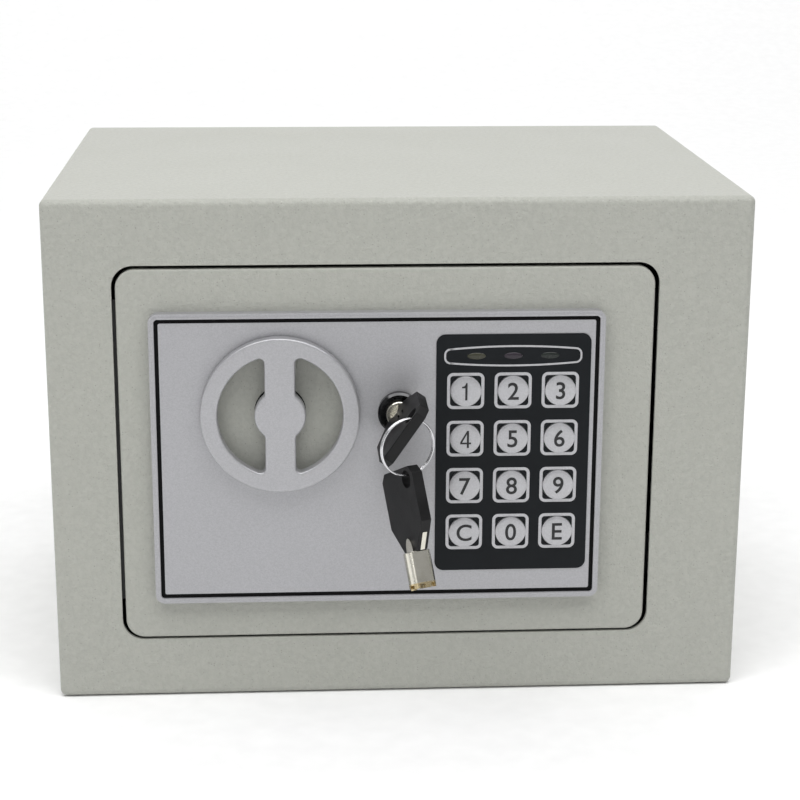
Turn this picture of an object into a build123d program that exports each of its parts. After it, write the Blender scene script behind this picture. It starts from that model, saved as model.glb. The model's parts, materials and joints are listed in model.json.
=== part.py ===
from build123d import *
from math import cos, radians, sin
import os

os.makedirs("parts", exist_ok=True)

# A compact electronic safe. Millimetres; +X right, +Y into the safe, +Z up,
# origin at the centre of the underside. The door is shut, its bolts are drawn
# back, and the emergency key is in its lock with the ring and spare key on it.

# Cabinet
WIDTH = 230.0
DEPTH = 170.0
HEIGHT = 170.0
SHEET = 1.5  # folded steel
FOLD_R = 2.2  # outer radius of every fold
FRONT = -DEPTH / 2
BACK = DEPTH / 2
ANCHOR_SPAN = 110.0  # between the two anchor holes of the floor, and of the back
ANCHOR_R = 5.0
BACK_ANCHOR_Z = 85.0
MAT_T = 2.0
MAT_MARGIN = 6.0

# Doorway and door plate
DOORWAY = (-93.1, 84.5, 20.5, 148.7)  # left, right, bottom, top
DOORWAY_R = 7.0
DOOR = (-91.9, 83.1, 21.2, 147.5)
DOOR_R = 6.3
DOOR_T = 3.0
DOOR_BACK = FRONT + DOOR_T
STOP = (34.0, 137.0)  # bottom and top of the strip that the shut door rests on
STOP_WELD_W = 8.0
STOP_LAP = 2.4  # of the strip behind the door's edge
STOP_GAP = 0.3

# Hinge: two goose-neck arms that reach round the doorway's edge
PIVOT_X = 97.0
PIVOT_Y = -79.0
PIN_R = 2.5
PIN_CLEAR = 0.08
KNUCKLE_R = 4.2
ARM_T = 3.0
ARM_HEIGHT = 14.0
ARM_BOTTOMS = {"hinge_arm_bottom": 34.0, "hinge_arm_top": 121.0}
LUG_T = 3.0
LUG_GAP = 0.4
PIN_HEAD = 1.0  # the head's height, and how far it stands out round the pin
LUG_R = PIVOT_Y - FRONT - SHEET

# Silver fascia on the door
FASCIA = (-81.5, 66.7, 34.5, 133.5)
FASCIA_R = 3.0
RIM_W = 1.8
RIM_FRONT = FRONT - 3.3
GROOVE_W = 1.35
FIELD_FRONT = FRONT - 2.9
GROOVE_DEPTH = 1.2
GROOVE_CORNER = 0.6
INLAY_T = 1.05
KNOB_OPENING_R = 22.0
SCREW_R = 1.5
SCREW_HEAD_R = 2.9
FASCIA_SCREWS = [(-73.0, 43.0), (-73.0, 125.0), (6.5, 43.0), (6.5, 125.0)]

# Keypad
OVERLAY = (11.5, 62.2, 44.7, 125.9)
OVERLAY_T = 0.3
KEY_COLUMNS = (21.2, 36.75, 52.3)
KEY_ROWS = (106.9, 90.65, 74.4, 58.2)
KEY_NAMES = ("123", "456", "789", "c0e")
KEY_R = 5.1
KEY_CLEAR = 0.25
KEY_FLANGE_R = 6.0
SKIN_BACK = FRONT - 2.1  # behind the fascia's thin skin at the keypad
BOARD_FRONT = FRONT - 0.6
LED_COLUMNS = (24.6, 36.7, 48.7)
LED_Z = 118.6
LED_SIZE = (6.0, 2.2)
RIBBON = (30.0, 44.0)
RIBBON_Z = 50.0
RIBBON_T = 0.8
CABLE_CLEAR = 1.5

# Knob and its crank
KNOB_X = -39.4
AXIS_Z = 100.0  # knob and lock are on one level
KNOB_R = 26.0
KNOB_INNER_R = 20.4
GRIP_W = 10.0
HUB_R = 8.4
KNOB_FRONT = FRONT - 7.0
KNOB_T = 3.7
SHAFT_R = 4.0
SHAFT_END_R = 3.0
CRANK_R = 11.5
CRANK_LEAD = 40.0  # degrees right of the top with the bolts drawn back
CRANK_PIN_R = 2.5
CRANK_T = 2.5

# Bolt work, in layers behind the door plate
CARRIAGE_FRONT = -80.5
CARRIAGE_T = 2.0
CARRIAGE_BACK = CARRIAGE_FRONT + CARRIAGE_T
CARRIAGE = (-66.0, -14.0, 42.0, 128.0)
THROW = 2 * CRANK_R * sin(radians(CRANK_LEAD))
BOLT_R = 6.0
BOLT_Y = -73.0
BOLT_LEVELS = (52.3, 116.3)
BOLT_TIP = -85.3
TAIL_T = 2.0  # the carriage's end flange, which carries the bolts
GUIDE_T = 1.2
STUD_X = -45.0
STUD_LEVELS = (57.0, 122.5)
STUD_R = 2.5
TONGUE_END = 20.0
TONGUE = (84.0, 89.6)
SHELF_T = 2.0
SHELF_BACK = -69.0

# Emergency lock
LOCK_X = -0.6
LOCK_FACE = FRONT - 5.5
LOCK_RING_R = 7.0
BARREL_R = 6.0
BARREL_BACK = -68.0
BORE_R = 4.4
PLUG_R = 4.3
PLUG_FRONT = -79.2
POST_R = 2.8
POST_FRONT = -88.2
STEM_R = 3.5
CAM_FRONT = -66.5
CAM_T = 2.5
CAM_REACH = 18.85  # cam radius over the follower, key as it stands
CAM_RISE = 3.5  # per radian
CAM_FROM = -42.0
CAM_TO = 56.0

# Solenoid and its plunger
PLUNGER_Y = -74.0
PLUNGER_R = 3.0
PLUNGER_TIP = TONGUE[0] - 0.3
FOLLOWER_R = 1.5
FOLLOWER_Z = AXIS_Z - CAM_REACH - 0.15 - FOLLOWER_R
COIL = (43.0, 67.0)
COIL_R = 6.2
YOKE_T = 2.0
COLLAR_Z = 77.0
COLLAR_T = 0.8

# Keys on their ring
KEY_TURN = 34.5  # degrees clockwise from upright
BOW_FOOT = -91.7  # where the plastic bow meets the tube
BOW_W = 22.6
BOW_T = 3.6
BOW_L = 26.5
BOW_TAPER = 8.5
BOW_FOOT_W = 9.2
BOW_CORNER = 2.5
RING_HOLE_R = 2.8
RING_HOLE_SIDE = 6.3
RING_HOLE_END = 3.9
TUBE_R = 4.3
TUBE_BORE_R = 3.15
TUBE_L = 12.0
TONGUE_W = 8.0
TONGUE_T = 1.4
TONGUE_L = 6.5
RING_R = 9.2
WIRE_R = 0.65
RING_CENTRE = Vector(0.5, -115.9, 96.4)
RING_YAW = 24.0  # the left of the ring is nearer
SPARE_PLACE = 8.0  # degrees round the ring from its lowest point
SPARE_PLAY = 0.75  # between the wire and the top of the spare key's hole
SPARE_TILT = 25.0

# Inner cover, batteries and electronics
COVER = (-84.1, 78.4, 30.0, 140.0)
COVER_BACK = -52.0
COVER_T = 1.2
BOSS_R = 3.5
COVER_SCREW_L = 12.0
COVER_SCREWS = [(-76.0, 36.0), (-76.0, 134.0), (48.0, 36.0), (48.0, 136.0)]
CELL_R = 7.1
CELL_L = 50.5
CELL_PITCH = 15.5
CELL_COUNT = 4
CELL_Y = -64.5
BOX = (22.6, 76.9, 52.0, 117.0)
BOX_FRONT = -73.0
BOX_BACK = -54.2
BOX_T = 1.0
LID = (26.0, 74.0, 56.0, 113.0)
LID_GAP = 0.3
PCB = (24.0, 76.0, 49.0, 119.5)
PCB_FRONT = -79.0
PCB_T = 1.6
RESET_X = 49.0
RESET_Z = 126.5
RESET_R = 4.0


STANDING = (Align.CENTER, Align.CENTER, Align.MIN)
INWARDS = (0, 1, 0)
OUTWARDS = (0, -1, 0)
UP = (0, 0, 1)


def block(low, high, mode=Mode.ADD):
    """A box between two opposite corners."""
    low, high = Vector(*low), Vector(*high)
    size = high - low
    with Locations((low + high) / 2):
        Box(size.X, size.Y, size.Z, mode=mode)


def rod(foot, direction, radius, length, mode=Mode.ADD):
    """A round bar that stands on its foot and points in a direction."""
    with Locations(Plane(origin=foot, z_dir=direction)):
        Cylinder(radius, length, align=STANDING, mode=mode)


def panel(sides, corner, front, back, mode=Mode.ADD):
    """An upright plate from its left, right, bottom and top, with round corners."""
    left, right, bottom, top = sides
    with BuildSketch(Plane.XZ.offset(-front)) as outline:
        with Locations(((left + right) / 2, (bottom + top) / 2)):
            RectangleRounded(right - left, top - bottom, corner)
    extrude(outline.sketch, amount=front - back, mode=mode)


def inset(sides, margin):
    """The same four sides, moved in by a margin."""
    left, right, bottom, top = sides
    return (left + margin, right - margin, bottom + margin, top - margin)


def finish(piece, name):
    """Label a finished piece and write it."""
    piece.part.label = name
    export_step(piece.part, f"parts/{name}.step")


# ---------------------------------------------------------------- cabinet

with BuildPart() as cabinet_shell:
    block((-WIDTH / 2, FRONT, 0), (WIDTH / 2, BACK, HEIGHT))
    fillet(cabinet_shell.edges().filter_by(Axis.Y), FOLD_R)
    fillet(cabinet_shell.faces().sort_by(Axis.Y)[0].edges(), FOLD_R)
    offset(amount=-SHEET, openings=cabinet_shell.faces().sort_by(Axis.Y)[-1])
    panel(DOORWAY, DOORWAY_R, FRONT, FRONT + 2 * SHEET, mode=Mode.SUBTRACT)
    for side in (-1, 1):
        rod((side * ANCHOR_SPAN / 2, 0, -1), UP, ANCHOR_R, 2 * SHEET, mode=Mode.SUBTRACT)
finish(cabinet_shell, "cabinet_shell")

with BuildPart() as back_panel:
    wall_inside = inset((-WIDTH / 2, WIDTH / 2, 0, HEIGHT), SHEET)
    panel(wall_inside, FOLD_R - SHEET, BACK - SHEET, BACK)
    for side in (-1, 1):
        foot = (side * ANCHOR_SPAN / 2, BACK - 2 * SHEET, BACK_ANCHOR_Z)
        rod(foot, INWARDS, ANCHOR_R, 3 * SHEET, mode=Mode.SUBTRACT)
finish(back_panel, "back_panel")

stop_weld = DOORWAY[0] - STOP_WELD_W
stop_front = DOOR_BACK + STOP_GAP
stop_back = stop_front + SHEET
with BuildPart() as door_stop:
    block((stop_weld, FRONT + SHEET, STOP[0]), (DOORWAY[0], stop_back, STOP[1]))
    block((DOORWAY[0], stop_front, STOP[0]), (DOOR[0] + STOP_LAP, stop_back, STOP[1]))
finish(door_stop, "door_stop")

LUG_FLOORS = []
for bottom in ARM_BOTTOMS.values():
    LUG_FLOORS += [bottom - LUG_GAP - LUG_T, bottom + ARM_HEIGHT + LUG_GAP]
with BuildPart() as hinge_brackets:
    for floor in LUG_FLOORS:
        block((PIVOT_X - LUG_R, FRONT + SHEET, floor), (PIVOT_X + LUG_R, PIVOT_Y, floor + LUG_T))
        rod((PIVOT_X, PIVOT_Y, floor), UP, LUG_R, LUG_T)
        rod((PIVOT_X, PIVOT_Y, floor), UP, PIN_R, LUG_T, mode=Mode.SUBTRACT)
finish(hinge_brackets, "hinge_brackets")

with BuildPart() as hinge_pins:
    for floor in LUG_FLOORS[::2]:
        rod((PIVOT_X, PIVOT_Y, floor), UP, PIN_R, ARM_HEIGHT + 2 * (LUG_GAP + LUG_T))
        rod((PIVOT_X, PIVOT_Y, floor - PIN_HEAD), UP, PIN_R + PIN_HEAD, PIN_HEAD)
finish(hinge_pins, "hinge_pins")

with BuildPart() as floor_mat:
    mat_x = WIDTH / 2 - MAT_MARGIN
    block((-mat_x, FRONT + MAT_MARGIN, SHEET), (mat_x, BACK - MAT_MARGIN, SHEET + MAT_T))
    for side in (-1, 1):
        rod((side * ANCHOR_SPAN / 2, 0, SHEET), UP, ANCHOR_R + 1, MAT_T, mode=Mode.SUBTRACT)
finish(floor_mat, "floor_mat")

# ---------------------------------------------------------------- door

with BuildPart() as door_plate:
    panel(DOOR, DOOR_R, FRONT, DOOR_BACK)
    fillet(door_plate.faces().sort_by(Axis.Y)[0].edges(), 0.8)
    rod((KNOB_X, FRONT, AXIS_Z), INWARDS, HUB_R, DOOR_T, mode=Mode.SUBTRACT)
    rod((LOCK_X, FRONT, AXIS_Z), INWARDS, BARREL_R, DOOR_T, mode=Mode.SUBTRACT)
    cable_slot = (RIBBON[0], RIBBON[1], RIBBON_Z, RIBBON_Z)
    panel(inset(cable_slot, -CABLE_CLEAR), 1.0, FRONT, DOOR_BACK, mode=Mode.SUBTRACT)
    for x, z in FASCIA_SCREWS:
        with Locations(Plane(origin=(x, DOOR_BACK, z), z_dir=INWARDS)):
            CounterSinkHole(SCREW_R, SCREW_HEAD_R, depth=DOOR_T)
finish(door_plate, "door_plate")

# Each arm in plan: round the pin, back into the safe, across, and out to the door
ARM_ROUTE = [(0, KNUCKLE_R - 1), (0, 16), (-16.5, 16), (-16.5, -1.5), (-42, -1.5)]
for name, bottom in ARM_BOTTOMS.items():
    with BuildPart() as hinge_arm:
        with BuildSketch(Plane(origin=(PIVOT_X, PIVOT_Y, bottom))):
            with BuildLine():
                Polyline(*ARM_ROUTE)
            trace(line_width=ARM_T)
            Circle(KNUCKLE_R)
            Circle(PIN_R + PIN_CLEAR, mode=Mode.SUBTRACT)
        extrude(amount=ARM_HEIGHT)
    finish(hinge_arm, name)

with BuildPart() as fascia:
    panel(FASCIA, FASCIA_R, RIM_FRONT, FRONT)
    panel(inset(FASCIA, RIM_W), FASCIA_R - RIM_W, RIM_FRONT, FIELD_FRONT, mode=Mode.SUBTRACT)
    with BuildSketch(Plane.XZ.offset(-FIELD_FRONT)) as groove:
        left, right, bottom, top = inset(FASCIA, RIM_W)
        with Locations(((left + right) / 2, (bottom + top) / 2)):
            RectangleRounded(right - left, top - bottom, FASCIA_R - RIM_W)
            inner_w, inner_h = right - left - 2 * GROOVE_W, top - bottom - 2 * GROOVE_W
            RectangleRounded(inner_w, inner_h, GROOVE_CORNER, mode=Mode.SUBTRACT)
    extrude(groove.sketch, amount=-GROOVE_DEPTH, mode=Mode.SUBTRACT)
    rod((KNOB_X, FRONT, AXIS_Z), OUTWARDS, KNOB_OPENING_R, 5, mode=Mode.SUBTRACT)
    rod((LOCK_X, FRONT, AXIS_Z), OUTWARDS, BARREL_R, 5, mode=Mode.SUBTRACT)
    panel(inset(OVERLAY, 1.2), 2.0, SKIN_BACK, FRONT, mode=Mode.SUBTRACT)
    for x in KEY_COLUMNS:
        for z in KEY_ROWS:
            rod((x, FRONT, z), OUTWARDS, KEY_R + KEY_CLEAR, 5, mode=Mode.SUBTRACT)
    with BuildSketch(Plane.XZ.offset(-SKIN_BACK)) as windows:
        with Locations([(x, LED_Z) for x in LED_COLUMNS]):
            Ellipse(LED_SIZE[0] / 2, LED_SIZE[1] / 2)
    extrude(windows.sketch, amount=5, mode=Mode.SUBTRACT)
    for x, z in FASCIA_SCREWS:
        rod((x, FRONT, z), OUTWARDS, SCREW_R, 2.2, mode=Mode.SUBTRACT)
finish(fascia, "fascia")

with BuildPart() as fascia_inlay:
    groove_floor = FIELD_FRONT + GROOVE_DEPTH
    inlay_front = groove_floor - INLAY_T
    panel(inset(FASCIA, RIM_W), FASCIA_R - RIM_W, inlay_front, groove_floor)
    inner_edge = inset(FASCIA, RIM_W + GROOVE_W)
    panel(inner_edge, GROOVE_CORNER, inlay_front, groove_floor, mode=Mode.SUBTRACT)
finish(fascia_inlay, "fascia_inlay")

with BuildPart() as fascia_screws:
    for x, z in FASCIA_SCREWS:
        with Locations(Plane(origin=(x, DOOR_BACK, z), z_dir=OUTWARDS)):
            Cone(SCREW_HEAD_R, SCREW_R, SCREW_HEAD_R - SCREW_R, align=STANDING)
            Cylinder(SCREW_R, DOOR_T + 2, align=STANDING)
finish(fascia_screws, "fascia_screws")

with BuildPart() as keypad_overlay:
    panel(OVERLAY, 3.0, FIELD_FRONT - OVERLAY_T, FIELD_FRONT)
    for x in KEY_COLUMNS:
        for z in KEY_ROWS:
            rod((x, FIELD_FRONT, z), OUTWARDS, KEY_R + KEY_CLEAR, 1, mode=Mode.SUBTRACT)
    with BuildSketch(Plane.XZ.offset(-FIELD_FRONT)) as overlay_windows:
        with Locations([(x, LED_Z) for x in LED_COLUMNS]):
            Ellipse(LED_SIZE[0] / 2, LED_SIZE[1] / 2)
    extrude(overlay_windows.sketch, amount=1, mode=Mode.SUBTRACT)
finish(keypad_overlay, "keypad_overlay")

with BuildPart() as led_lenses:
    with BuildSketch(Plane.XZ.offset(-BOARD_FRONT)):
        with Locations([(x, LED_Z) for x in LED_COLUMNS]):
            Ellipse(LED_SIZE[0] / 2, LED_SIZE[1] / 2)
    extrude(amount=BOARD_FRONT - FIELD_FRONT + OVERLAY_T + 0.15)
finish(led_lenses, "led_lenses")

with BuildPart() as keypad_board:
    panel(inset(OVERLAY, 1.5), 1.0, BOARD_FRONT, FRONT)
finish(keypad_board, "keypad_board")

with BuildPart() as ribbon_cable:
    cable_floor, cable_roof = RIBBON_Z - RIBBON_T / 2, RIBBON_Z + RIBBON_T / 2
    block((RIBBON[0], FRONT, cable_floor), (RIBBON[1], PCB_FRONT, cable_roof))
finish(ribbon_cable, "ribbon_cable")

# Each key is a rounded cap, and a flange that the fascia's skin holds in
KEY_FACE = FRONT - 4.1
for row, z in enumerate(KEY_ROWS):
    for column, x in enumerate(KEY_COLUMNS):
        with BuildPart() as key_cap:
            rod((x, KEY_FACE, z), INWARDS, KEY_R, SKIN_BACK + 0.9 - KEY_FACE)
            fillet(key_cap.faces().sort_by(Axis.Y)[0].edges(), 0.5)
            rod((x, SKIN_BACK + 0.2, z), INWARDS, KEY_FLANGE_R, 0.7)
        finish(key_cap, f"key_{KEY_NAMES[row][column]}")

# ---------------------------------------------------------------- knob

with BuildPart() as knob:
    with BuildSketch(Plane.XZ.offset(-KNOB_FRONT)) as knob_face:
        with Locations((KNOB_X, AXIS_Z)):
            Circle(KNOB_R)
            Circle(KNOB_INNER_R, mode=Mode.SUBTRACT)
            Rectangle(GRIP_W, 2 * KNOB_INNER_R + 2)
            Circle(HUB_R)
        fillet([v for v in knob_face.vertices() if abs(abs(v.X - KNOB_X) - GRIP_W / 2) < 0.01], 1.6)
    extrude(amount=-KNOB_T)
    fillet(knob.faces().sort_by(Axis.Y)[0].edges(), 0.7)
    rod((KNOB_X, KNOB_FRONT + KNOB_T, AXIS_Z), INWARDS, 6.5, 2.3)
finish(knob, "knob")

SHAFT_FRONT = KNOB_FRONT + KNOB_T + 2.3
CRANK_FRONT = CARRIAGE_BACK + 0.4
with BuildPart() as knob_shaft:
    rod((KNOB_X, SHAFT_FRONT, AXIS_Z), INWARDS, SHAFT_R, CRANK_FRONT - SHAFT_FRONT)
    rod((KNOB_X, CRANK_FRONT, AXIS_Z), INWARDS, SHAFT_END_R, CRANK_T + 2.2)
finish(knob_shaft, "knob_shaft")

crank_turn = radians(CRANK_LEAD)
pin_x = KNOB_X + CRANK_R * sin(crank_turn)
pin_z = AXIS_Z + CRANK_R * cos(crank_turn)
with BuildPart() as knob_crank:
    with BuildSketch(Plane.XZ.offset(-CRANK_FRONT)):
        with Locations((KNOB_X, AXIS_Z)):
            Circle(7)
        with Locations((pin_x, pin_z)):
            Circle(CRANK_PIN_R + 2)
        make_hull()
        with Locations((KNOB_X, AXIS_Z)):
            Circle(SHAFT_END_R, mode=Mode.SUBTRACT)
    extrude(amount=-CRANK_T)
    rod((pin_x, CRANK_FRONT, pin_z), OUTWARDS, CRANK_PIN_R, 2.2)
finish(knob_crank, "knob_crank")

with BuildPart() as shaft_clip:
    with BuildSketch(Plane.XZ.offset(-CRANK_FRONT - CRANK_T)):
        with Locations((KNOB_X, AXIS_Z)):
            Circle(5.4)
            Circle(SHAFT_END_R, mode=Mode.SUBTRACT)
        with Locations((KNOB_X, AXIS_Z - 5)):
            Rectangle(3.4, 6, mode=Mode.SUBTRACT)
    extrude(amount=-0.9)
finish(shaft_clip, "shaft_clip")

with BuildPart() as knob_bushing:
    rod((KNOB_X, DOOR_BACK - 1.6, AXIS_Z), INWARDS, HUB_R, 1.6)
    rod((KNOB_X, DOOR_BACK, AXIS_Z), INWARDS, 13, 1.1)
    rod((KNOB_X, DOOR_BACK - 1.6, AXIS_Z), INWARDS, SHAFT_R + 0.08, 2.7, mode=Mode.SUBTRACT)
finish(knob_bushing, "knob_bushing")

# ---------------------------------------------------------------- bolt work

TAIL_X = CARRIAGE[0] - TAIL_T
YOKE_CLEAR = 0.45
with BuildPart() as bolt_carriage:
    panel(CARRIAGE, 2.0, CARRIAGE_FRONT, CARRIAGE_BACK)
    block((CARRIAGE[1] - 3, CARRIAGE_FRONT, TONGUE[0]), (TONGUE_END, CARRIAGE_BACK, TONGUE[1]))
    block((-8, CARRIAGE_BACK, TONGUE[0]), (TONGUE_END, SHELF_BACK, TONGUE[0] + SHELF_T))
    block((TAIL_X, CARRIAGE_FRONT, 44), (CARRIAGE[0], BOLT_Y + BOLT_R, 125))
    block((TAIL_X, CARRIAGE_FRONT, 44), (CARRIAGE[0] + 3, CARRIAGE_BACK, 125))
    with BuildSketch(Plane.XZ.offset(-CARRIAGE_FRONT)) as slots:
        with Locations((KNOB_X + THROW / 2, AXIS_Z)):
            SlotCenterToCenter(THROW + 0.6, 2 * SHAFT_R + 1.2)
        yoke_w = 2 * (CRANK_PIN_R + YOKE_CLEAR)
        with Locations((pin_x, (pin_z + AXIS_Z + CRANK_R) / 2)):
            SlotCenterToCenter(AXIS_Z + CRANK_R - pin_z, yoke_w, rotation=90)
        with Locations([(STUD_X + THROW / 2, z) for z in STUD_LEVELS]):
            SlotCenterToCenter(THROW + 0.6, 2 * STUD_R + 0.6)
    extrude(slots.sketch, amount=-CARRIAGE_T, mode=Mode.SUBTRACT)
    for x in (LOCK_X, LOCK_X + THROW):
        rod((x, PLUNGER_Y, TONGUE[0]), UP, PLUNGER_R + 0.4, SHELF_T, mode=Mode.SUBTRACT)
finish(bolt_carriage, "bolt_carriage")

with BuildPart() as locking_bolts:
    for z in BOLT_LEVELS:
        rod((TAIL_X, BOLT_Y, z), (-1, 0, 0), BOLT_R, TAIL_X - BOLT_TIP)
    chamfer(locking_bolts.faces().group_by(Axis.X)[0].edges(), 0.8)
finish(locking_bolts, "locking_bolts")

GUIDE_INNER = BOLT_TIP + GUIDE_T
with BuildPart() as bolt_guide:
    block((BOLT_TIP, DOOR_BACK, COVER[2]), (GUIDE_INNER, COVER_BACK, COVER[3]))
    block((GUIDE_INNER, DOOR_BACK, 62), (GUIDE_INNER + 6, DOOR_BACK + GUIDE_T, 107))
    for z in BOLT_LEVELS:
        rod((BOLT_TIP - 1, BOLT_Y, z), (1, 0, 0), BOLT_R + 0.3, 4, mode=Mode.SUBTRACT)
finish(bolt_guide, "bolt_guide")

with BuildPart() as guide_studs:
    for z in STUD_LEVELS:
        rod((STUD_X, DOOR_BACK, z), INWARDS, STUD_R, CARRIAGE_BACK - DOOR_BACK + 0.3)
        rod((STUD_X, CARRIAGE_BACK + 0.3, z), INWARDS, STUD_R + 2, 1.5)
finish(guide_studs, "guide_studs")

# ---------------------------------------------------------------- lock

with BuildPart() as lock_barrel:
    rod((LOCK_X, LOCK_FACE, AXIS_Z), INWARDS, LOCK_RING_R, FIELD_FRONT - LOCK_FACE)
    chamfer(lock_barrel.faces().sort_by(Axis.Y)[0].edges(), 0.7)
    rod((LOCK_X, FIELD_FRONT, AXIS_Z), INWARDS, BARREL_R, BARREL_BACK - FIELD_FRONT)
    rod((LOCK_X, LOCK_FACE, AXIS_Z), INWARDS, 5.4, 0.7, mode=Mode.SUBTRACT)
    rod((LOCK_X, LOCK_FACE, AXIS_Z), INWARDS, BORE_R, BARREL_BACK - LOCK_FACE, mode=Mode.SUBTRACT)
finish(lock_barrel, "lock_barrel")

with BuildPart() as lock_nut:
    with BuildSketch(Plane.XZ.offset(-DOOR_BACK)):
        with Locations((LOCK_X, AXIS_Z)):
            RegularPolygon(8.5, 6, major_radius=False, rotation=30)
            Circle(BARREL_R, mode=Mode.SUBTRACT)
    extrude(amount=-2.8)
finish(lock_nut, "lock_nut")

with BuildPart() as lock_plug:
    rod((LOCK_X, POST_FRONT, AXIS_Z), INWARDS, POST_R, PLUG_FRONT - POST_FRONT)
    rod((LOCK_X, PLUG_FRONT, AXIS_Z), INWARDS, PLUG_R, BARREL_BACK - PLUG_FRONT)
    rod((LOCK_X, BARREL_BACK, AXIS_Z), INWARDS, STEM_R, CAM_FRONT + CAM_T + 3 - BARREL_BACK)
finish(lock_plug, "lock_plug")


def cam_point(turn):
    """A point on the cam's spiral edge, turn degrees right of straight down."""
    reach = CAM_REACH + CAM_RISE * radians(turn)
    return (LOCK_X + reach * sin(radians(turn)), AXIS_Z - reach * cos(radians(turn)))


with BuildPart() as lock_cam:
    with BuildSketch(Plane.XZ.offset(-CAM_FRONT)):
        with BuildLine():
            Spline(*[cam_point(CAM_FROM + step * (CAM_TO - CAM_FROM) / 8) for step in range(9)])
            Polyline(cam_point(CAM_TO), (LOCK_X, AXIS_Z), cam_point(CAM_FROM))
        make_face()
        with Locations((LOCK_X, AXIS_Z)):
            Circle(7)
            Circle(STEM_R, mode=Mode.SUBTRACT)
    extrude(amount=-CAM_T)
finish(lock_cam, "lock_cam")

with BuildPart() as cam_nut:
    with BuildSketch(Plane.XZ.offset(-CAM_FRONT - CAM_T)):
        with Locations((LOCK_X, AXIS_Z)):
            RegularPolygon(5.5, 6, major_radius=False)
            Circle(STEM_R, mode=Mode.SUBTRACT)
    extrude(amount=-2.5)
finish(cam_nut, "cam_nut")

# ---------------------------------------------------------------- solenoid

YOKE = (LOCK_X - 9, LOCK_X + 9)
with BuildPart() as solenoid_frame:
    block((YOKE[0], DOOR_BACK, COIL[0] - YOKE_T), (YOKE[1], DOOR_BACK + 1.4, COIL[1] + YOKE_T))
    for floor in (COIL[0] - YOKE_T, COIL[1]):
        block((YOKE[0], DOOR_BACK, floor), (YOKE[1], PLUNGER_Y + 7.5, floor + YOKE_T))
    rod((LOCK_X, PLUNGER_Y, COIL[1]), UP, PLUNGER_R + 0.4, YOKE_T, mode=Mode.SUBTRACT)
finish(solenoid_frame, "solenoid_frame")

with BuildPart() as solenoid_coil:
    rod((LOCK_X, PLUNGER_Y, COIL[0]), UP, COIL_R, COIL[1] - COIL[0])
    rod((LOCK_X, PLUNGER_Y, COIL[0]), UP, PLUNGER_R + 0.3, COIL[1] - COIL[0], mode=Mode.SUBTRACT)
finish(solenoid_coil, "solenoid_coil")

with BuildPart() as solenoid_plunger:
    rod((LOCK_X, PLUNGER_Y, COIL[0] + 4), UP, PLUNGER_R, PLUNGER_TIP - COIL[0] - 4)
    chamfer(solenoid_plunger.faces().sort_by(Axis.Z)[-1].edges(), 0.5)
    rod((LOCK_X, PLUNGER_Y, COLLAR_Z), UP, PLUNGER_R + 1.6, COLLAR_T)
    rod((LOCK_X, PLUNGER_Y, FOLLOWER_Z), INWARDS, FOLLOWER_R, CAM_FRONT + CAM_T + 0.5 - PLUNGER_Y)
finish(solenoid_plunger, "solenoid_plunger")

SPRING_WIRE_R = 0.35
SPRING_FLOOR = COIL[1] + YOKE_T
spring_height = COLLAR_Z - SPRING_FLOOR - 2 * SPRING_WIRE_R - 0.1
with BuildPart() as plunger_spring:
    with BuildLine(Plane(origin=(LOCK_X, PLUNGER_Y, SPRING_FLOOR + SPRING_WIRE_R + 0.05))) as coil_line:
        Helix(pitch=spring_height / 4, height=spring_height, radius=PLUNGER_R + 1)
    with BuildSketch(coil_line.line ^ 0):
        Circle(SPRING_WIRE_R)
    sweep()
finish(plunger_spring, "plunger_spring")

# ---------------------------------------------------------------- keys on their ring


def make_stem(flat):
    """A key's steel tube, and the flat tongue that the bow is moulded on."""
    foot, outwards = flat.origin, flat.y_dir
    with BuildPart() as stem:
        rod(foot, -outwards, TUBE_R, TUBE_L)
        rod(foot - outwards * 3, -outwards, TUBE_BORE_R, TUBE_L, mode=Mode.SUBTRACT)
        with BuildSketch(flat):
            with Locations((0, TONGUE_L / 2)):
                Rectangle(TONGUE_W, TONGUE_L)
        extrude(amount=TONGUE_T / 2, both=True)
    return stem


def make_bow(flat):
    """A key's plastic bow, tapered to the tube, with the ring's hole near one corner."""
    half, foot, end = BOW_W / 2, BOW_FOOT_W / 2, BOW_L - BOW_CORNER
    with BuildPart() as bow:
        with BuildSketch(flat):
            with BuildLine():
                right_edge = [(foot, 0), (half, BOW_TAPER), (half, end), (half - BOW_CORNER, BOW_L)]
                left_edge = [(-side, along) for side, along in reversed(right_edge)]
                Polyline(*right_edge, *left_edge, close=True)
            make_face()
            with Locations((RING_HOLE_SIDE, BOW_L - RING_HOLE_END)):
                Circle(RING_HOLE_R, mode=Mode.SUBTRACT)
        extrude(amount=BOW_T / 2, both=True)
        with BuildSketch(flat):
            with Locations((0, TONGUE_L / 2)):
                Rectangle(TONGUE_W, TONGUE_L)
        extrude(amount=TONGUE_T / 2, both=True, mode=Mode.SUBTRACT)
    return bow


key_turn = radians(KEY_TURN)
key_flat = Plane(origin=(LOCK_X, BOW_FOOT, AXIS_Z), x_dir=(sin(key_turn), 0, cos(key_turn)),
                 z_dir=(cos(key_turn), 0, -sin(key_turn)))
finish(make_stem(key_flat), "key_stem")
finish(make_bow(key_flat), "key_bow")

# The ring hangs in the key's hole, and the spare key hangs near the ring's lowest point
ring_yaw = radians(RING_YAW)
ring_across = Vector(cos(ring_yaw), sin(ring_yaw), 0)
ring_near = Vector(sin(ring_yaw), -cos(ring_yaw), 0)
with BuildPart() as key_ring:
    with Locations(Plane(origin=RING_CENTRE, x_dir=ring_across, z_dir=ring_near)):
        Torus(RING_R, WIRE_R)
finish(key_ring, "key_ring")

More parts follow.
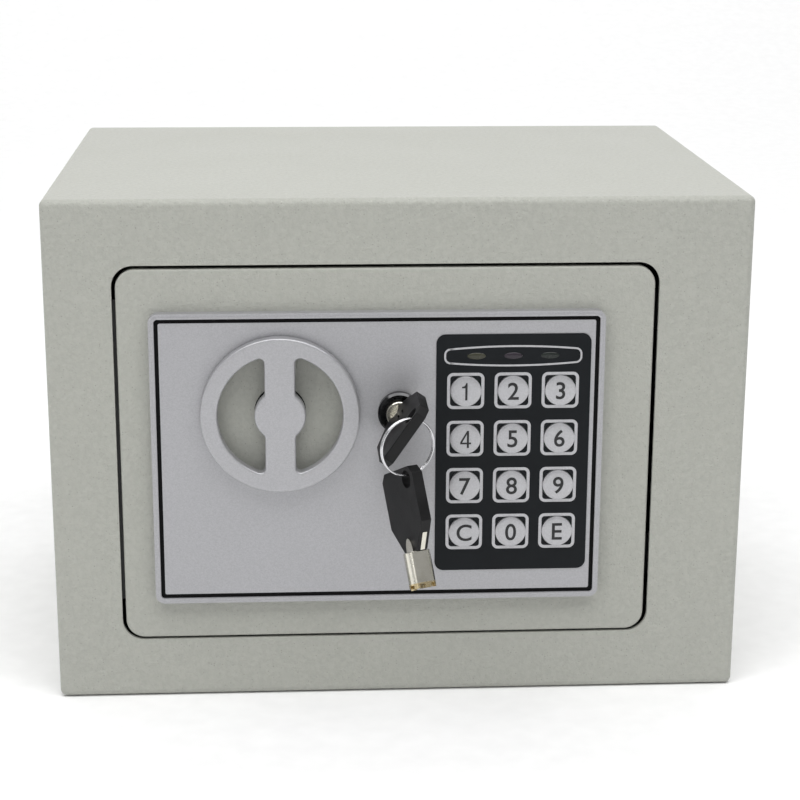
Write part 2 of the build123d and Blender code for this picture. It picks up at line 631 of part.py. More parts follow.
spare_place, spare_tilt = radians(SPARE_PLACE), radians(SPARE_TILT)
down = Vector(0, 0, -1)
round_ring = ring_across * sin(spare_place) + down * cos(spare_place)
spare_contact = RING_CENTRE + round_ring * RING_R
spare_hole = spare_contact + down * (RING_HOLE_R - WIRE_R - SPARE_PLAY)
spare_down = down * cos(spare_tilt) + ring_near * sin(spare_tilt)
spare_wide = ring_near * cos(spare_tilt) - down * sin(spare_tilt)
spare_foot = spare_hole - spare_wide * RING_HOLE_SIDE + spare_down * (BOW_L - RING_HOLE_END)
spare_flat = Plane(origin=spare_foot, x_dir=spare_wide, z_dir=spare_wide.cross(-spare_down))
finish(make_stem(spare_flat), "spare_key_stem")
finish(make_bow(spare_flat), "spare_key_bow")

# ---------------------------------------------------------------- inside of the door

with BuildPart() as inner_cover:
    block((COVER[0], DOOR_BACK, COVER[2]), (COVER[1], COVER_BACK, COVER[3]))
    # its left side is open, where the bolt guide closes it
    _, right, bottom, top = inset(COVER, COVER_T)
    block((COVER[0], DOOR_BACK, bottom), (right, COVER_BACK - COVER_T, top), mode=Mode.SUBTRACT)
    for x, z in COVER_SCREWS:
        rod((x, DOOR_BACK, z), INWARDS, BOSS_R, COVER_BACK - COVER_T - DOOR_BACK)
        foot = (x, COVER_BACK - COVER_SCREW_L, z)
        rod(foot, INWARDS, SCREW_R, COVER_SCREW_L, mode=Mode.SUBTRACT)
    for bottom in ARM_BOTTOMS.values():
        notch_low = (COVER[1] - 2, DOOR_BACK, bottom - LUG_GAP)
        notch_high = (COVER[1] + 1, DOOR_BACK + ARM_T + 0.3, bottom + ARM_HEIGHT + LUG_GAP)
        block(notch_low, notch_high, mode=Mode.SUBTRACT)
    panel(inset(LID, -LID_GAP), 2.0, COVER_BACK - COVER_T, COVER_BACK, mode=Mode.SUBTRACT)
    rod((RESET_X, COVER_BACK - 2, RESET_Z), INWARDS, RESET_R + 0.3, 3, mode=Mode.SUBTRACT)
finish(inner_cover, "inner_cover")

with BuildPart() as cover_screws:
    for x, z in COVER_SCREWS:
        rod((x, COVER_BACK - COVER_SCREW_L, z), INWARDS, SCREW_R, COVER_SCREW_L)
        rod((x, COVER_BACK, z), INWARDS, SCREW_HEAD_R, 1.6)
finish(cover_screws, "cover_screws")

with BuildPart() as battery_box:
    block((BOX[0], BOX_FRONT, BOX[2]), (BOX[1], BOX_BACK, BOX[3]))
    left, right, bottom, top = inset(BOX, BOX_T)
    block((left, BOX_FRONT + BOX_T, bottom), (right, BOX_BACK, top), mode=Mode.SUBTRACT)
finish(battery_box, "battery_box")

lowest_cell = (BOX[2] + BOX[3] - (CELL_COUNT - 1) * CELL_PITCH) / 2
cell_levels = [lowest_cell + n * CELL_PITCH for n in range(CELL_COUNT)]
cell_middle = (BOX[0] + BOX[1]) / 2
with BuildPart() as batteries:
    for n, z in enumerate(cell_levels):
        way = 1 if n % 2 else -1  # neighbours face opposite ways
        rod((cell_middle - way * CELL_L / 2, CELL_Y, z), (way, 0, 0), CELL_R, CELL_L - 1)
        rod((cell_middle + way * (CELL_L / 2 - 1), CELL_Y, z), (way, 0, 0), 2.7, 1)
finish(batteries, "batteries")

contact_t = (BOX[1] - BOX[0] - 2 * BOX_T - CELL_L) / 2
with BuildPart() as battery_contacts:
    for z in cell_levels:
        for x in (cell_middle - CELL_L / 2 - contact_t, cell_middle + CELL_L / 2):
            block((x, CELL_Y - 4, z - 4), (x + contact_t, CELL_Y + 4, z + 4))
finish(battery_contacts, "battery_contacts")

with BuildPart() as control_board:
    block((PCB[0], PCB_FRONT, PCB[2]), (PCB[1], PCB_FRONT + PCB_T, PCB[3]))
    for x in (PCB[0] + 4, PCB[1] - 4):
        for z in (PCB[2] + 4, PCB[3] - 4):
            rod((x, DOOR_BACK, z), INWARDS, 2.5, DOOR_T)
    block((40, PCB_FRONT + PCB_T, 78), (58, PCB_FRONT + PCB_T + 2, 86))
    block((30, PCB_FRONT + PCB_T, 98), (42, PCB_FRONT + PCB_T + 3.5, 108))
finish(control_board, "control_board")

with BuildPart() as battery_lid:
    panel(LID, 2.0, COVER_BACK - COVER_T, COVER_BACK)
    rod(((LID[0] + LID[1]) / 2, COVER_BACK - 0.5, LID[3] - 8), INWARDS, 5, 1, mode=Mode.SUBTRACT)
finish(battery_lid, "battery_lid")

with BuildPart() as reset_switch:
    rod((RESET_X, DOOR_BACK, RESET_Z), INWARDS, 5, COVER_BACK - 5.6 - DOOR_BACK)
finish(reset_switch, "reset_switch")

with BuildPart() as reset_button:
    rod((RESET_X, COVER_BACK - 2.6, RESET_Z), INWARDS, RESET_R + 1.2, 1)
    rod((RESET_X, COVER_BACK - 1.6, RESET_Z), INWARDS, RESET_R, 3.1)
    fillet(reset_button.faces().sort_by(Axis.Y)[-1].edges(), 0.6)
finish(reset_button, "reset_button")
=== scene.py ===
# %% [markdown]
# # A small keypad safe
# The frame of this scene is the CAD model of the safe. It brings every part that has a real
# shape and a real size: cabinet, door, hinges, knob, lock, bolts, keypad and keys. This lesson
# gives each of them its finish, and adds the fine things that a CAD part leaves plain, such as
# printed characters, moulded edges, the split ring's two turns of wire and the felt mat.
# Lengths are in metres, because the frame is. Small pieces are drawn in millimetres and scaled
# when they are finished.

# %% Load the frame
import json
from math import cos, pi, radians, sin

import bmesh
import bpy
from mathutils import Matrix, Vector


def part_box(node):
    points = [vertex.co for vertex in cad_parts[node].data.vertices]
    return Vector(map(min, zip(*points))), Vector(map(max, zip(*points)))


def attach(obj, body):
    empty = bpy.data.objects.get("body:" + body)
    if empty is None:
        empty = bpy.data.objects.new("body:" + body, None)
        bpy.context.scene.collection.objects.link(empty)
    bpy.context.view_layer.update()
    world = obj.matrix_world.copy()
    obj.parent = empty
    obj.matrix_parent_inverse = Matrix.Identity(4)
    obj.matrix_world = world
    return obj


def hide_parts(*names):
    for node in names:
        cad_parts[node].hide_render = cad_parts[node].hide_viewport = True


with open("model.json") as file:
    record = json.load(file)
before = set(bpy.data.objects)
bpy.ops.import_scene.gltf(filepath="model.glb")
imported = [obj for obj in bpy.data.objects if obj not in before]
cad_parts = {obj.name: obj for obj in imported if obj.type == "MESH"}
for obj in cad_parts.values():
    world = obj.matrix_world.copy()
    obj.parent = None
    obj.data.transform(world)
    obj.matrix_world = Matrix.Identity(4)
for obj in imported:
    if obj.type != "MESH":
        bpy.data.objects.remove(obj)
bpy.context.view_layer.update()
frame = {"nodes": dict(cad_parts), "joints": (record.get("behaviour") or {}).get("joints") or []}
MM = 0.001
nodes = frame["nodes"]

# %% [markdown]
# ## Finishes
# Every finish is a Principled BSDF whose colour and roughness change over the surface, with a
# Bump node for what the fingertip would feel. What changes comes from a few patterns that many
# finishes share: the orange peel of a powder coat, the flakes of a metallic paint, the grain of
# a moulded plastic, and the fine scratches of bare metal. Each pattern is a node group, built
# once, and every material uses it with its own size. The groups only give out masks and heights.
# The shader stays in the material.

# %% Start a pattern
def start_pattern(name, inputs, outputs):
    """A shader node group with float inputs (name, default) and float outputs."""
    group = bpy.data.node_groups.new(name, "ShaderNodeTree")
    group.interface.new_socket("Vector", in_out="INPUT", socket_type="NodeSocketVector")
    for label, value in inputs:
        group.interface.new_socket(label, in_out="INPUT", socket_type="NodeSocketFloat").default_value = value
    for label in outputs:
        group.interface.new_socket(label, in_out="OUTPUT", socket_type="NodeSocketFloat")
    return group, group.nodes.new("NodeGroupInput"), group.nodes.new("NodeGroupOutput")


def add(tree, kind, links=(), **settings):
    """A node with its settings, and links to its inputs as (input, socket it reads)."""
    node = tree.nodes.new(kind)
    for key, value in settings.items():
        setattr(node, key, value)
    for key, source in links:
        if hasattr(source, "links"):
            tree.links.new(source, node.inputs[key])
        else:
            node.inputs[key].default_value = source
    return node


def ramp(tree, source, low, high, to_low=0.0, to_high=1.0):
    """A value stretched from one range to another."""
    node = add(tree, "ShaderNodeMapRange", [("Value", source), ("From Min", low), ("From Max", high),
                                            ("To Min", to_low), ("To Max", to_high)])
    return node.outputs["Result"]


print("pattern helpers ready")

# %% [markdown]
# ### Powder coat
# Powder melts in an oven into a skin with soft bumps about a millimetre wide, like orange peel,
# and small craters between them. Two noises of different size make the bumps. Their tops are
# also painted lighter, as painted shade that stands for how light falls on the bumps. A Voronoi
# pattern gives rare specks: each cell has a random number, and only the few highest cells show
# a speck. The dark specks are specks in the coat, and the light ones are painted glints.

# %% Orange peel
peel, peel_in, peel_out = start_pattern(
    "orange_peel", [("Bumps per metre", 900.0), ("Specks per metre", 1100.0)],
    ["Height", "Painted_bump_shade", "Specks", "Painted_glints", "Tone"])
wide = add(peel, "ShaderNodeTexNoise",
           [("Vector", peel_in.outputs[0]), ("Scale", peel_in.outputs[1]), ("Detail", 2.0)])
double = add(peel, "ShaderNodeMath", [(0, peel_in.outputs[1]), (1, 2.6)], operation="MULTIPLY")
fine = add(peel, "ShaderNodeTexNoise",
           [("Vector", peel_in.outputs[0]), ("Scale", double.outputs[0]), ("Detail", 1.0)])
both = add(peel, "ShaderNodeMath", [(0, fine.outputs["Fac"]), (1, 0.45), (2, wide.outputs["Fac"])],
           operation="MULTIPLY_ADD")
peel.links.new(both.outputs[0], peel_out.inputs["Height"])
# Painted shade: the bumps' height, stretched, is used to lighten the colour of their tops.
peel.links.new(ramp(peel, both.outputs[0], 0.55, 0.95), peel_out.inputs["Painted_bump_shade"])
cells = add(peel, "ShaderNodeTexVoronoi", [("Vector", peel_in.outputs[0]), ("Scale", peel_in.outputs[2])])
chance = add(peel, "ShaderNodeSeparateColor", [(0, cells.outputs["Color"])])
middle = ramp(peel, cells.outputs["Distance"], 0.16, 0.30, 1.0, 0.0)
dark = add(peel, "ShaderNodeMath", [(0, ramp(peel, chance.outputs[0], 0.86, 0.90)), (1, middle)],
           operation="MULTIPLY")
# Painted glints: these light specks stand for sparkle where light catches the coat; the dark specks above are
# specks in the coat.
glint_specks = add(peel, "ShaderNodeMath", [(0, ramp(peel, chance.outputs[1], 0.90, 0.94)), (1, middle)],
             operation="MULTIPLY")
peel.links.new(dark.outputs[0], peel_out.inputs["Specks"])
peel.links.new(glint_specks.outputs[0], peel_out.inputs["Painted_glints"])
drift = add(peel, "ShaderNodeTexNoise", [("Vector", peel_in.outputs[0]), ("Scale", 28.0), ("Detail", 3.0)])
peel.links.new(drift.outputs["Fac"], peel_out.inputs["Tone"])
print("orange_peel:", len(peel.nodes), "nodes")

# %% [markdown]
# ### Metallic paint
# Silver paint is clear varnish with metal flakes in it. Each flake lies at its own slant, so it
# catches the light its own way; that is painted into the colour, each flake a little lighter or
# darker, as painted glints and shade. The paint looks finely speckled close up and even from far away.

# %% Flakes
flake, flake_in, flake_out = start_pattern(
    "metal_flake", [("Flakes per metre", 3200.0)], ["Flakes", "Height", "Tone"])
cells = add(flake, "ShaderNodeTexVoronoi", [("Vector", flake_in.outputs[0]), ("Scale", flake_in.outputs[1])])
shine = add(flake, "ShaderNodeSeparateColor", [(0, cells.outputs["Color"])])
flake.links.new(shine.outputs[0], flake_out.inputs["Flakes"])
skin = add(flake, "ShaderNodeTexNoise", [("Vector", flake_in.outputs[0]), ("Scale", 900.0), ("Detail", 3.0)])
flake.links.new(skin.outputs["Fac"], flake_out.inputs["Height"])
drift = add(flake, "ShaderNodeTexNoise", [("Vector", flake_in.outputs[0]), ("Scale", 40.0), ("Detail", 2.0)])
flake.links.new(drift.outputs["Fac"], flake_out.inputs["Tone"])
print("metal_flake:", len(flake.nodes), "nodes")

# %% [markdown]
# ### Moulded grain
# Plastic takes the texture of its mould: a fine leathery grain, with a wider drift in how
# glossy it is where hands or packing have rubbed it.

# %% Grain
grain, grain_in, grain_out = start_pattern(
    "moulded_grain", [("Grains per metre", 2400.0)], ["Height", "Tone"])
pebbles = add(grain, "ShaderNodeTexNoise",
              [("Vector", grain_in.outputs[0]), ("Scale", grain_in.outputs[1]), ("Detail", 4.0),
               ("Roughness", 0.6)])
grain.links.new(pebbles.outputs["Fac"], grain_out.inputs["Height"])
drift = add(grain, "ShaderNodeTexNoise", [("Vector", grain_in.outputs[0]), ("Scale", 120.0), ("Detail", 4.0)])
grain.links.new(ramp(grain, drift.outputs["Fac"], 0.3, 0.7), grain_out.inputs["Tone"])
print("moulded_grain:", len(grain.nodes), "nodes")

# %% [markdown]
# ### Handled metal
# Bare or plated metal is never an even mirror. A noise that is stretched a lot along one
# direction gives brushed lines or scratches, and a soft, wide noise gives the dull clouds that
# fingers leave.

# %% Scratches
scratch, scratch_in, scratch_out = start_pattern(
    "fine_scratches", [("Lines per metre", 3000.0)], ["Lines", "Clouds"])
stretched = add(scratch, "ShaderNodeVectorMath", [(0, scratch_in.outputs[0]), (1, (0.06, 1.0, 1.0))],
                operation="MULTIPLY")
lines = add(scratch, "ShaderNodeTexNoise",
            [("Vector", stretched.outputs[0]), ("Scale", scratch_in.outputs[1]), ("Detail", 3.0)])
scratch.links.new(ramp(scratch, lines.outputs["Fac"], 0.35, 0.65), scratch_out.inputs["Lines"])
clouds = add(scratch, "ShaderNodeTexNoise",
             [("Vector", scratch_in.outputs[0]), ("Scale", 150.0), ("Detail", 4.0)])
scratch.links.new(ramp(scratch, clouds.outputs["Fac"], 0.35, 0.65), scratch_out.inputs["Clouds"])
print("fine_scratches:", len(scratch.nodes), "nodes")

# %% [markdown]
# ### Making a finish
# A finish starts as a material with one pattern in it, which reads Object coordinates. Three
# short helpers then say what the pattern drives: a colour between two colours, a number between
# two numbers, or a bump of a given depth. Values that are the same all over are set on the
# shader's own sockets.

# %% Finish helpers
def srgb(red, green, blue):
    """A display colour from 0 to 255 as the linear colour that a shader needs."""
    linear = [c / 255 / 12.92 if c <= 10 else ((c / 255 + 0.055) / 1.055) ** 2.4 for c in (red, green, blue)]
    return (*linear, 1.0)


class Finish:
    """A material with one pattern."""

    def __init__(self, name, pattern, scale=None, **sockets):
        self.material = bpy.data.materials.new(name)
        self.material.use_nodes = True
        self.tree = self.material.node_tree
        self.shader = self.tree.nodes["Principled BSDF"]
        for label, value in sockets.items():
            self.shader.inputs[label.replace("_", " ")].default_value = value
        self.where = add(self.tree, "ShaderNodeTexCoord").outputs["Object"]
        self.pattern = self.add("ShaderNodeGroup", [], node_tree=pattern)
        self.tree.links.new(self.where, self.pattern.inputs["Vector"])
        if scale:
            self.pattern.inputs[1].default_value = scale

    def add(self, kind, links=(), **settings):
        return add(self.tree, kind, links, **settings)

    def mask(self, name):
        return self.pattern.outputs[name]

    def mix(self, mask, low, high):
        """A colour that goes from low to high with the mask. Each may be a colour or a socket."""
        node = self.add("ShaderNodeMix", [("Factor", mask)], data_type="RGBA")
        for socket, colour in ((node.inputs[6], low), (node.inputs[7], high)):
            if hasattr(colour, "links"):
                self.tree.links.new(colour, socket)
            else:
                socket.default_value = colour
        return node.outputs[2]

    def colour(self, socket):
        self.tree.links.new(socket, self.shader.inputs["Base Color"])

    def drive(self, label, mask, low, high):
        self.tree.links.new(ramp(self.tree, mask, 0.0, 1.0, low, high), self.shader.inputs[label])

    def bump(self, height, depth, strength=1.0):
        node = self.add("ShaderNodeBump", [("Height", height), ("Distance", depth), ("Strength", strength)])
        self.tree.links.new(node.outputs[0], self.shader.inputs["Normal"])


def paint_nodes(finish, *names):
    """Gives CAD nodes a finish."""
    for name in names:
        mesh_slots = nodes[name].material_slots
        if not mesh_slots:
            nodes[name].data.materials.append(finish.material)
        for mesh_slot in mesh_slots:
            mesh_slot.material = finish.material
    print(finish.material.name, "on", ", ".join(names))


# %% [markdown]
# ### The cabinet's coat
# A warm light grey with a trace of green. It is the same powder on cabinet and door. The door's
# coat has its own material so that it can be repainted alone, and is a touch smoother.

# %% Powder coats
def powder_coat(name, base, bumps, depth):
    """A powder coat of a base colour, with specks, painted glints, painted shade on the bumps, and orange
    peel.
    """
    coat = Finish(name, peel, bumps, Specular_IOR_Level=0.25)

    def shade(k):
        return tuple(min(1.0, c * k) for c in base[:3]) + (1.0,)

    tone = coat.mix(coat.mask("Tone"), shade(0.97), shade(1.03))
    # Painted shade: the higher parts of the orange peel get a lighter colour, standing for how light falls on
    # the bumps.
    bump_shaded_colour = coat.mix(coat.mask("Painted_bump_shade"), tone, shade(1.10))
    specked = coat.mix(coat.mask("Specks"), bump_shaded_colour, shade(0.80))
    # Painted glints: the rare light specks get a lighter colour that stands for sparkle.
    coat.colour(coat.mix(coat.mask("Painted_glints"), specked, shade(1.25)))
    coat.drive("Roughness", coat.mask("Tone"), 0.36, 0.50)
    coat.bump(coat.mask("Height"), depth)
    return coat


BODY_GREY = srgb(167, 168, 161)
cabinet_coat = powder_coat("cabinet_powder_coat", BODY_GREY, 700.0, 0.00030)
door_coat = powder_coat("door_powder_coat", BODY_GREY, 760.0, 0.00026)
paint_nodes(cabinet_coat, "cabinet_shell", "back_panel")
paint_nodes(door_coat, "door_plate")

# %% [markdown]
# ### Silver paint
# The fascia, the knob and the keys are plastic with a satin silver paint.

# %% Silver
def silver_paint(name, tone, rough):
    """A satin metallic paint."""
    silver = Finish(name, flake, None, Metallic=0.55, Roughness=rough)
    # Painted glints and shade: each flake gets a lighter or darker colour, standing for how its slant catches
    # the light.
    dull, lit = (tuple(c * k for c in tone[:3]) + (1.0,) for k in (0.93, 1.07))
    silver.colour(silver.mix(silver.mask("Flakes"), dull, lit))
    silver.drive("Roughness", silver.mask("Tone"), rough - 0.04, rough + 0.05)
    silver.bump(silver.mask("Height"), 0.00002)
    return silver


fascia_silver = silver_paint("fascia_silver", srgb(171, 171, 174), 0.42)
knob_silver = silver_paint("knob_silver", srgb(174, 174, 177), 0.40)
key_silver = silver_paint("keypad_silver", srgb(182, 182, 185), 0.38)
paint_nodes(fascia_silver, "fascia")
paint_nodes(knob_silver, "knob")

# %% [markdown]
# ### Blacks and darks
# Several parts are black, and each is black in its own way: dull brush paint in the fascia's
# groove, a slightly blue printed film on the keypad, moulded plastic on the keys' bows and the
# cover inside the door, and thin dark paint on the hinges.

# %% Plastics and dark paint
def moulded(name, low, high, rough, scale=2400.0, depth=0.00003, **sockets):
    """A moulded plastic between two colours."""
    plastic = Finish(name, grain, scale, **sockets)
    plastic.colour(plastic.mix(plastic.mask("Tone"), low, high))
    plastic.drive("Roughness", plastic.mask("Tone"), rough, rough + 0.12)
    plastic.bump(plastic.mask("Height"), depth)
    return plastic


groove_black = moulded("groove_black", srgb(6, 6, 7), srgb(12, 12, 13), 0.55, 3000.0, Specular_IOR_Level=0.1)
film_black = moulded("keypad_film", srgb(18, 21, 24), srgb(24, 27, 30), 0.42, 1500.0, 0.00001,
                     Specular_IOR_Level=0.15)
bow_black = moulded("bow_plastic", srgb(14, 14, 15), srgb(22, 22, 23), 0.36, 1900.0, 0.00004,
                    Specular_IOR_Level=0.25)
cover_black = moulded("cover_plastic", srgb(34, 34, 36), srgb(42, 42, 44), 0.50, 1400.0, 0.00006)
nylon_black = moulded("nylon_black", srgb(22, 22, 22), srgb(28, 28, 28), 0.45)
frame_paint = moulded("dark_frame_paint", srgb(52, 52, 53), srgb(62, 62, 62), 0.42, 1100.0, 0.00005)
ribbon_grey = moulded("ribbon_grey", srgb(150, 150, 154), srgb(168, 168, 171), 0.5)
button_red = moulded("reset_red", srgb(150, 22, 20), srgb(172, 30, 26), 0.3, 2000.0, 0.00001)
board_green = moulded("circuit_board", srgb(20, 84, 42), srgb(30, 104, 56), 0.3, 900.0)
paint_nodes(groove_black, "fascia_inlay")
paint_nodes(film_black, "keypad_overlay")
paint_nodes(cover_black, "battery_box", "inner_cover", "battery_lid")
paint_nodes(nylon_black, "knob_bushing", "reset_switch")
paint_nodes(frame_paint, "door_stop", "hinge_brackets", "hinge_arm_bottom", "hinge_arm_top")
paint_nodes(ribbon_grey, "ribbon_cable")
paint_nodes(button_red, "reset_button")
paint_nodes(board_green, "keypad_board", "control_board")

# %% [markdown]
# ### Metals
# The lock's ring is polished chrome; its colour is made dark, as a painted reflection of dark
# surroundings. The keys' tubes are nickel, the bolts and brackets inside are zinc-plated, and the
# solenoid is wound with enamelled copper wire.

# %% Metals
def metal(name, low, high, rough, scale=3000.0, depth=0.000006):
    """A bare or plated metal with scratches and clouds."""
    bare = Finish(name, scratch, scale, Metallic=1.0)
    bare.colour(bare.mix(bare.mask("Clouds"), low, high))
    bare.drive("Roughness", bare.mask("Lines"), rough, rough + 0.10)
    bare.bump(bare.mask("Lines"), depth)
    return bare


# Painted reflection: the chrome's colour is dark, standing for the dark surroundings that the real ring
# reflects.
lock_chrome = metal("lock_chrome", srgb(52, 52, 53), srgb(70, 70, 71), 0.08)
key_nickel = metal("key_nickel", srgb(206, 203, 190), srgb(224, 221, 210), 0.14)
tip_brass = metal("tip_brass", srgb(200, 182, 140), srgb(222, 207, 172), 0.22)
ring_nickel = metal("ring_nickel", srgb(196, 197, 200), srgb(222, 222, 224), 0.16)
zinc_plate = metal("zinc_plate", srgb(176, 178, 180), srgb(202, 203, 204), 0.30, 1400.0)
bolt_steel = metal("bolt_steel", srgb(186, 187, 188), srgb(208, 208, 208), 0.22, 2200.0)
pin_steel = metal("pin_steel", srgb(170, 171, 173), srgb(196, 196, 197), 0.28)
copper_wire = metal("copper_wire", srgb(178, 92, 52), srgb(204, 118, 70), 0.28, 2600.0, 0.00008)
paint_nodes(lock_chrome, "lock_barrel")
paint_nodes(key_nickel, "lock_plug", "key_stem", "spare_key_stem")
paint_nodes(zinc_plate, "bolt_guide", "bolt_carriage", "solenoid_frame", "knob_crank", "lock_cam")
paint_nodes(bolt_steel, "locking_bolts", "knob_shaft", "solenoid_plunger", "plunger_spring",
            "battery_contacts")
paint_nodes(pin_steel, "hinge_pins", "guide_studs", "fascia_screws", "cover_screws", "shaft_clip",
            "lock_nut", "cam_nut")
paint_nodes(copper_wire, "solenoid_coil")

# %% [markdown]
# ### Lamps and cells
# The three lamp windows are tinted plastic, each with its own tint. They are one CAD node, so
# the tint is picked from how far right a point lies. The battery cells get their printed
# sleeves the same way: a dark sleeve, a coloured band and bare steel ends.

# %% Position masks
def along_x(finish):
    """How far right a point of the finish is, in metres."""
    return finish.add("ShaderNodeSeparateXYZ", [(0, finish.where)]).outputs["X"]


lens_low, lens_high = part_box("led_lenses")
lens_step = (lens_high[0] - lens_low[0]) / 2
lens = Finish("lamp_lens", grain, 1200.0, Coat_Weight=0.2, Specular_IOR_Level=0.3)
right_of_first = ramp(lens.tree, along_x(lens), lens_low[0] + 0.4 * lens_step, lens_low[0] + 0.45 * lens_step)
right_of_second = ramp(lens.tree, along_x(lens), lens_low[0] + 1.4 * lens_step,
                       lens_low[0] + 1.45 * lens_step)
first_two = lens.mix(right_of_first, srgb(58, 58, 46), srgb(44, 38, 46))
lens.colour(lens.mix(right_of_second, first_two, srgb(28, 34, 31)))
lens.drive("Roughness", lens.mask("Tone"), 0.18, 0.30)
paint_nodes(lens, "led_lenses")

cell_low, cell_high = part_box("batteries")
cell_length = cell_high[0] - cell_low[0]
sleeve = Finish("cell_sleeve", scratch, 2000.0)
band = ramp(sleeve.tree, along_x(sleeve), cell_low[0] + 0.30 * cell_length, cell_low[0] + 0.31 * cell_length)
steel_end = ramp(sleeve.tree, along_x(sleeve), cell_high[0] - 0.06 * cell_length,
                 cell_high[0] - 0.055 * cell_length)
printed = sleeve.mix(band, srgb(176, 132, 64), srgb(32, 40, 66))
sleeve.colour(sleeve.mix(steel_end, printed, srgb(190, 190, 190)))
sleeve.drive("Metallic", steel_end, 0.0, 1.0)
sleeve.drive("Roughness", sleeve.mask("Clouds"), 0.22, 0.34)
paint_nodes(sleeve, "batteries")

# %% [markdown]
# ## Pieces
# A piece is drawn as a bmesh in millimetres. Finishing it scales it to metres, merges doubled
# points, turns its faces outwards, and puts it in the scene with its place in its mesh. It then
# rides on the body that it belongs to.

# %% Finish a piece
def make_piece(name, shape, body, finish, slot, stands_for=(), matrix=None, sharp=35.0, flat_faces=False):
    """A piece from a bmesh in millimetres. The matrix, in millimetres too, moves it into place.

    flat_faces keeps wide faces flat between their rounded edges.
    """
    if matrix is not None:
        bmesh.ops.transform(shape, matrix=matrix, verts=shape.verts)
    bmesh.ops.remove_doubles(shape, verts=shape.verts, dist=0.002)
    bmesh.ops.recalc_face_normals(shape, faces=shape.faces)
    bmesh.ops.scale(shape, vec=(MM, MM, MM), verts=shape.verts)
    mesh = bpy.data.meshes.new(name)
    shape.to_mesh(mesh)
    shape.free()
    mesh.shade_smooth()
    mesh.set_sharp_from_angle(angle=radians(sharp))
    mesh.materials.append(finish.material)
    piece = bpy.data.objects.new(name, mesh)
    bpy.context.collection.objects.link(piece)
    if flat_faces:
        piece.modifiers.new("flat_faces", "WEIGHTED_NORMAL").keep_sharp = True
    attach(piece, body)
    if stands_for:
        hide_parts(*stands_for)
    print(name, "faces:", len(mesh.polygons), "rides on", body)
    return piece


def bevel(shape, geom, width, segments=3, affect="EDGES"):
    """Rounds edges or corners."""
    return bmesh.ops.bevel(shape, geom=geom, offset=width, segments=segments, profile=0.5, material=-1,
                           affect=affect, clamp_overlap=True)


def node_copy(name):
    """A CAD node's mesh in millimetres, with its triangles joined into flat faces."""
    shape = bmesh.new()
    shape.from_mesh(nodes[name].data)
    bmesh.ops.scale(shape, vec=(1 / MM, 1 / MM, 1 / MM), verts=shape.verts)
    bmesh.ops.remove_doubles(shape, verts=shape.verts, dist=0.003)
    bmesh.ops.dissolve_limit(shape, angle_limit=radians(0.5), verts=shape.verts, edges=shape.edges)
    return shape


def round_edges(shape, width, segments=3, over=35.0):
    """Rounds every edge that turns by more than an angle."""
    turned = [e for e in shape.edges if e.is_manifold and e.calc_face_angle() > radians(over)]
    bevel(shape, turned, width, segments)


def middle_of(name):
    """The middle of a CAD node's box, in millimetres."""
    low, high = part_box(name)
    return (Vector(low) + Vector(high)) / 2 / MM


def front_of(name):
    """How far forward a CAD node's front is, as a Y in millimetres."""
    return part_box(name)[0][1] / MM


FACING = Matrix.Rotation(radians(90), 4, "X")  # turns a flat drawing in XY to face the front
print("piece helpers ready")

# %% [markdown]
# ### Printed outlines on the keypad
# Each key has a silver rounded square round it, and the lamps share one long outline. They are
# raised a little, as thick screen print is. A single quad gets round corners from a vertex
# bevel, an inset makes the line, the inside is deleted, and solidify gives the line its height.

# %% Outlines
PRINT_T = 0.08
OUTLINE = 12.2
OUTLINE_CORNER = 2.0
OUTLINE_LINE = 1.0
CORNER_STEPS = 8


def flat_plate(width, height, corner):
    """A flat face in XY, round its middle, with round corners."""
    shape = bmesh.new()
    bmesh.ops.create_grid(shape, x_segments=1, y_segments=1, size=0.5)
    bmesh.ops.scale(shape, vec=(width, height, 1), verts=shape.verts)
    bevel(shape, shape.verts[:], corner, CORNER_STEPS, "VERTICES")
    return shape


def raise_outline(shape, line, thick):
    """Keeps a line round a flat face's edge, and gives it a thickness."""
    bmesh.ops.inset_individual(shape, faces=shape.faces[:], thickness=line, use_even_offset=True)
    inner = max(shape.faces, key=lambda face: face.calc_area())
    bmesh.ops.delete(shape, geom=[inner], context="FACES")
    bmesh.ops.solidify(shape, geom=shape.faces[:], thickness=thick)


def place(x, y, z):
    """The matrix that stands an XY drawing up, facing forward, at a place in millimetres."""
    return Matrix.Translation((x, y, z)) @ FACING


film_front = front_of("keypad_overlay")
key_places = {name: middle_of(name) for name in nodes if name.startswith("key_") and len(name) == 5}
outlines = bmesh.new()
for spot in key_places.values():
    square = flat_plate(OUTLINE, OUTLINE, OUTLINE_CORNER)
    raise_outline(square, OUTLINE_LINE, PRINT_T)
    bmesh.ops.transform(square, matrix=place(spot.x, film_front - PRINT_T / 2, spot.z), verts=square.verts)
    held = bpy.data.meshes.new("one_outline")
    square.to_mesh(held)
    square.free()
    outlines.from_mesh(held)
    bpy.data.meshes.remove(held)
make_piece("keypad_outlines", outlines, "door", key_silver, "key_silver")

# %% [markdown]
# ### The lamps' outline
# It is a bar whose long sides bulge. A row of quads gets the bulge from how far each point is
# from the middle, then the inner edges are dissolved and it is treated as the squares were.

